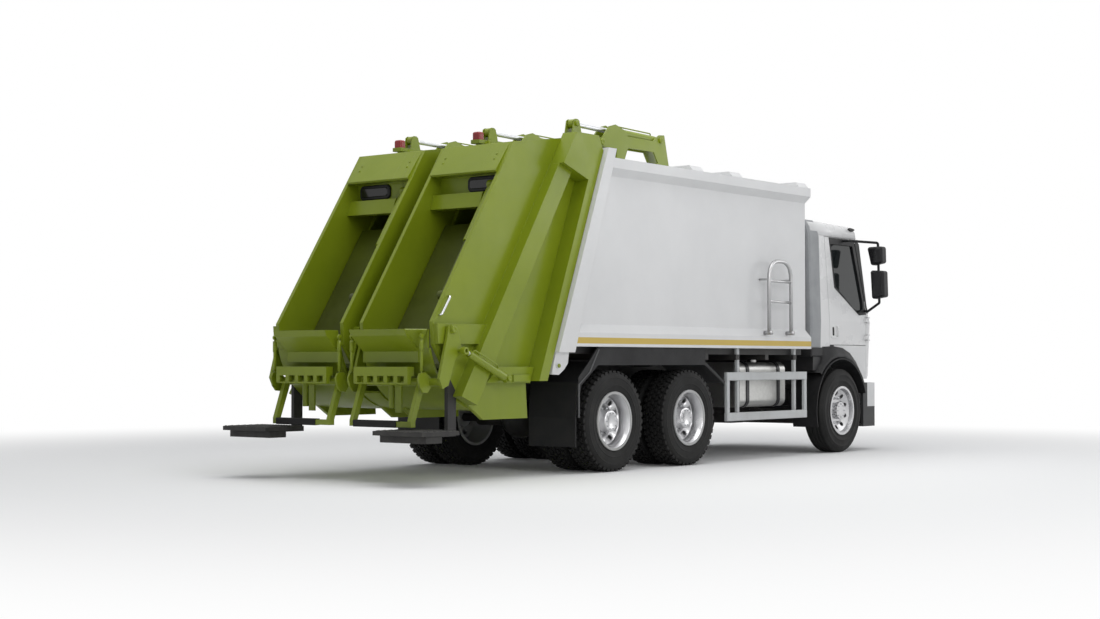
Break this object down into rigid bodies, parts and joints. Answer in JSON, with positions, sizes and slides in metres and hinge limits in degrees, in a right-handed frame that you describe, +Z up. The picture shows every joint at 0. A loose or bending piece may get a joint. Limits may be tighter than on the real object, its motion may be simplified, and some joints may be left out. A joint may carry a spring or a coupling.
{
  "type": "garbage truck",
  "caption": "Rear-loading garbage truck with a tilting cab, ribbed load body, lifting tailgate with side-by-side hoppers, packers and bin lifts.",
  "frame": {"origin": "on the ground at the middle of the truck's outline", "axes": "+Z up, the truck's front faces -Y, +X is the truck's own left"},
  "size_m": [3.1184, 8.8548, 3.5509],
  "materials": {
    "chassis_black": "satin, dusty",
    "white_paint": "gloss, worn",
    "cab_white": "gloss",
    "green_paint": "satin, scuffed",
    "charcoal": "matte",
    "guard_grey": "satin",
    "tank_aluminium": "polished",
    "worn_steel": "worn",
    "cylinder_grey": "satin",
    "chrome_rod": "polished",
    "tyre": "matte",
    "wheel_silver": "satin",
    "glass": "clear",
    "seat_cloth": "woven",
    "dash_plastic": "grained",
    "beacon_red": "clear, glossy",
    "lamp_lens": "clear",
    "mirror_black": "grained"
  },
  "bodies": {
    "chassis": {"chassis_frame": "chassis_black", "axles": "chassis_black", "powertrain": "chassis_black", "body_sides": "white_paint", "body_rear_frame": "white_paint", "body_roof": "white_paint", "body_floor": "chassis_black", "body_front_wall": "white_paint", "roof_brackets": "green_paint", "fuel_tank": "tank_aluminium", "battery_box": "charcoal", "side_guards": "guard_grey", "ladder": "worn_steel", "mudguards": "charcoal", "front_bumper": "charcoal", "headlamps": "lamp_lens"},
    "cab": {"cab_roof": "cab_white", "cab_rear_wall": "cab_white", "cab_front": "cab_white", "windscreen": "glass", "cab_floor": "cab_white", "seats": "seat_cloth", "dashboard": "dash_plastic"},
    "tailgate": {"tailgate_frame": "green_paint", "hopper_walls": "green_paint", "hopper_floors": "green_paint", "hopper_headers": "green_paint", "rear_steps": "chassis_black", "beacons": "beacon_red", "grab_handles": "chrome_rod"},
    "lift_barrels": {"lift_barrels": "cylinder_grey"},
    "lift_rods": {"lift_rods": "chrome_rod"},
    "door_left": {"door_left": "cab_white", "door_glass_left": "glass", "mirror_left": "mirror_black"},
    "knuckle_left": {"knuckle_left": "chassis_black"},
    "wheel_front_left": {"tyre_front_left": "tyre", "rim_front_left": "wheel_silver"},
    "wheel_middle_left": {"tyre_middle_left": "tyre", "rim_middle_left": "wheel_silver"},
    "wheel_rear_left": {"tyre_rear_left": "tyre", "rim_rear_left": "wheel_silver"},
    "packer_left": {"packer_left": "green_paint"},
    "bin_lift_left": {"bin_lift_left": "green_paint"},
    "tipper_barrel_left": {"tipper_barrel_left": "cylinder_grey"},
    "tipper_rod_left": {"tipper_rod_left": "chrome_rod"},
    "door_right": {"door_right": "cab_white", "door_glass_right": "glass", "mirror_right": "mirror_black"},
    "knuckle_right": {"knuckle_right": "chassis_black"},
    "wheel_front_right": {"tyre_front_right": "tyre", "rim_front_right": "wheel_silver"},
    "wheel_middle_right": {"tyre_middle_right": "tyre", "rim_middle_right": "wheel_silver"},
    "wheel_rear_right": {"tyre_rear_right": "tyre", "rim_rear_right": "wheel_silver"},
    "packer_right": {"packer_right": "green_paint"},
    "bin_lift_right": {"bin_lift_right": "green_paint"},
    "tipper_barrel_right": {"tipper_barrel_right": "cylinder_grey"},
    "tipper_rod_right": {"tipper_rod_right": "chrome_rod"}
  },
  "joints": [
    {"name": "cab_tilt", "type": "hinge", "parent": "chassis", "child": "cab", "pos_m": [0, -4.1475, 0.965], "axis": [1, 0, 0], "range_deg": [0, 45]},
    {"name": "tailgate_lift", "type": "hinge", "parent": "chassis", "child": "tailgate", "pos_m": [0, 1.5715, 3.349], "axis": [1, 0, 0], "range_deg": [0, 85]},
    {"name": "lift_barrel_swing", "type": "hinge", "parent": "chassis", "child": "lift_barrels", "pos_m": [0, 0.5265, 3.466], "axis": [1, 0, 0], "range_deg": [-2, 19]},
    {"name": "lift_rod_slide", "type": "slide", "parent": "lift_barrels", "child": "lift_rods", "axis": [0, 0.9998, 0.0201], "range_m": [-0.5, 0.02]},
    {"name": "door_left_swing", "type": "hinge", "parent": "cab", "child": "door_left", "pos_m": [1.172, -4.0905, 1.53], "axis": [0, 0, -1], "range_deg": [0, 70]},
    {"name": "steer_left", "type": "hinge", "parent": "chassis", "child": "knuckle_left", "pos_m": [0.88, -3.3575, 0.515], "axis": [0, 0, 1], "range_deg": [-38, 38]},
    {"name": "wheel_front_left_spin", "type": "hinge", "parent": "knuckle_left", "child": "wheel_front_left", "pos_m": [1.066, -3.3575, 0.515], "axis": [1, 0, 0], "continuous": true},
    {"name": "wheel_middle_left_spin", "type": "hinge", "parent": "chassis", "child": "wheel_middle_left", "pos_m": [0.92, 0.0825, 0.515], "axis": [1, 0, 0], "continuous": true},
    {"name": "wheel_rear_left_spin", "type": "hinge", "parent": "chassis", "child": "wheel_rear_left", "pos_m": [0.92, 1.4525, 0.515], "axis": [1, 0, 0], "continuous": true},
    {"name": "packer_left_slide", "type": "slide", "parent": "tailgate", "child": "packer_left", "axis": [0, -0.5507, 0.8347], "range_m": [0, 0.55]},
    {"name": "bin_lift_left_swing", "type": "hinge", "parent": "tailgate", "child": "bin_lift_left", "pos_m": [0, 3.8125, 1.41], "axis": [1, 0, 0], "range_deg": [0, 110]},
    {"name": "tipper_barrel_left_swing", "type": "hinge", "parent": "tailgate", "child": "tipper_barrel_left", "pos_m": [1.188, 3.1235, 0.958], "axis": [1, 0, 0], "range_deg": [-2, 8]},
    {"name": "tipper_rod_left_slide", "type": "slide", "parent": "tipper_barrel_left", "child": "tipper_rod_left", "axis": [0, 0.9201, 0.3917], "range_m": [-0.02, 0.37]},
    {"name": "door_right_swing", "type": "hinge", "parent": "cab", "child": "door_right", "pos_m": [-1.172, -4.0905, 1.53], "axis": [0, 0, 1], "range_deg": [0, 70]},
    {"name": "steer_right", "type": "hinge", "parent": "chassis", "child": "knuckle_right", "pos_m": [-0.88, -3.3575, 0.515], "axis": [0, 0, 1], "range_deg": [-38, 38]},
    {"name": "wheel_front_right_spin", "type": "hinge", "parent": "knuckle_right", "child": "wheel_front_right", "pos_m": [-1.066, -3.3575, 0.515], "axis": [1, 0, 0], "continuous": true},
    {"name": "wheel_middle_right_spin", "type": "hinge", "parent": "chassis", "child": "wheel_middle_right", "pos_m": [-0.92, 0.0825, 0.515], "axis": [1, 0, 0], "continuous": true},
    {"name": "wheel_rear_right_spin", "type": "hinge", "parent": "chassis", "child": "wheel_rear_right", "pos_m": [-0.92, 1.4525, 0.515], "axis": [1, 0, 0], "continuous": true},
    {"name": "packer_right_slide", "type": "slide", "parent": "tailgate", "child": "packer_right", "axis": [0, -0.5507, 0.8347], "range_m": [0, 0.55]},
    {"name": "bin_lift_right_swing", "type": "hinge", "parent": "tailgate", "child": "bin_lift_right", "pos_m": [0, 3.8125, 1.41], "axis": [1, 0, 0], "range_deg": [0, 110]},
    {"name": "tipper_barrel_right_swing", "type": "hinge", "parent": "tailgate", "child": "tipper_barrel_right", "pos_m": [-1.188, 3.1235, 0.958], "axis": [1, 0, 0], "range_deg": [-2, 8]},
    {"name": "tipper_rod_right_slide", "type": "slide", "parent": "tipper_barrel_right", "child": "tipper_rod_right", "axis": [0, 0.9201, 0.3917], "range_m": [-0.02, 0.37]}
  ],
  "couplings": [
    {"joint": "lift_barrel_swing", "follows": "tailgate_lift", "ratio": 0.19208},
    {"joint": "lift_rod_slide", "follows": "tailgate_lift", "m_per_rad": -0.31388},
    {"joint": "steer_right", "follows": "steer_left", "ratio": 1},
    {"joint": "tipper_barrel_left_swing", "follows": "bin_lift_left_swing", "ratio": 0.02744},
    {"joint": "tipper_rod_left_slide", "follows": "bin_lift_left_swing", "m_per_rad": 0.17868},
    {"joint": "tipper_barrel_right_swing", "follows": "bin_lift_right_swing", "ratio": 0.02744},
    {"joint": "tipper_rod_right_slide", "follows": "bin_lift_right_swing", "m_per_rad": 0.17868}
  ]
}
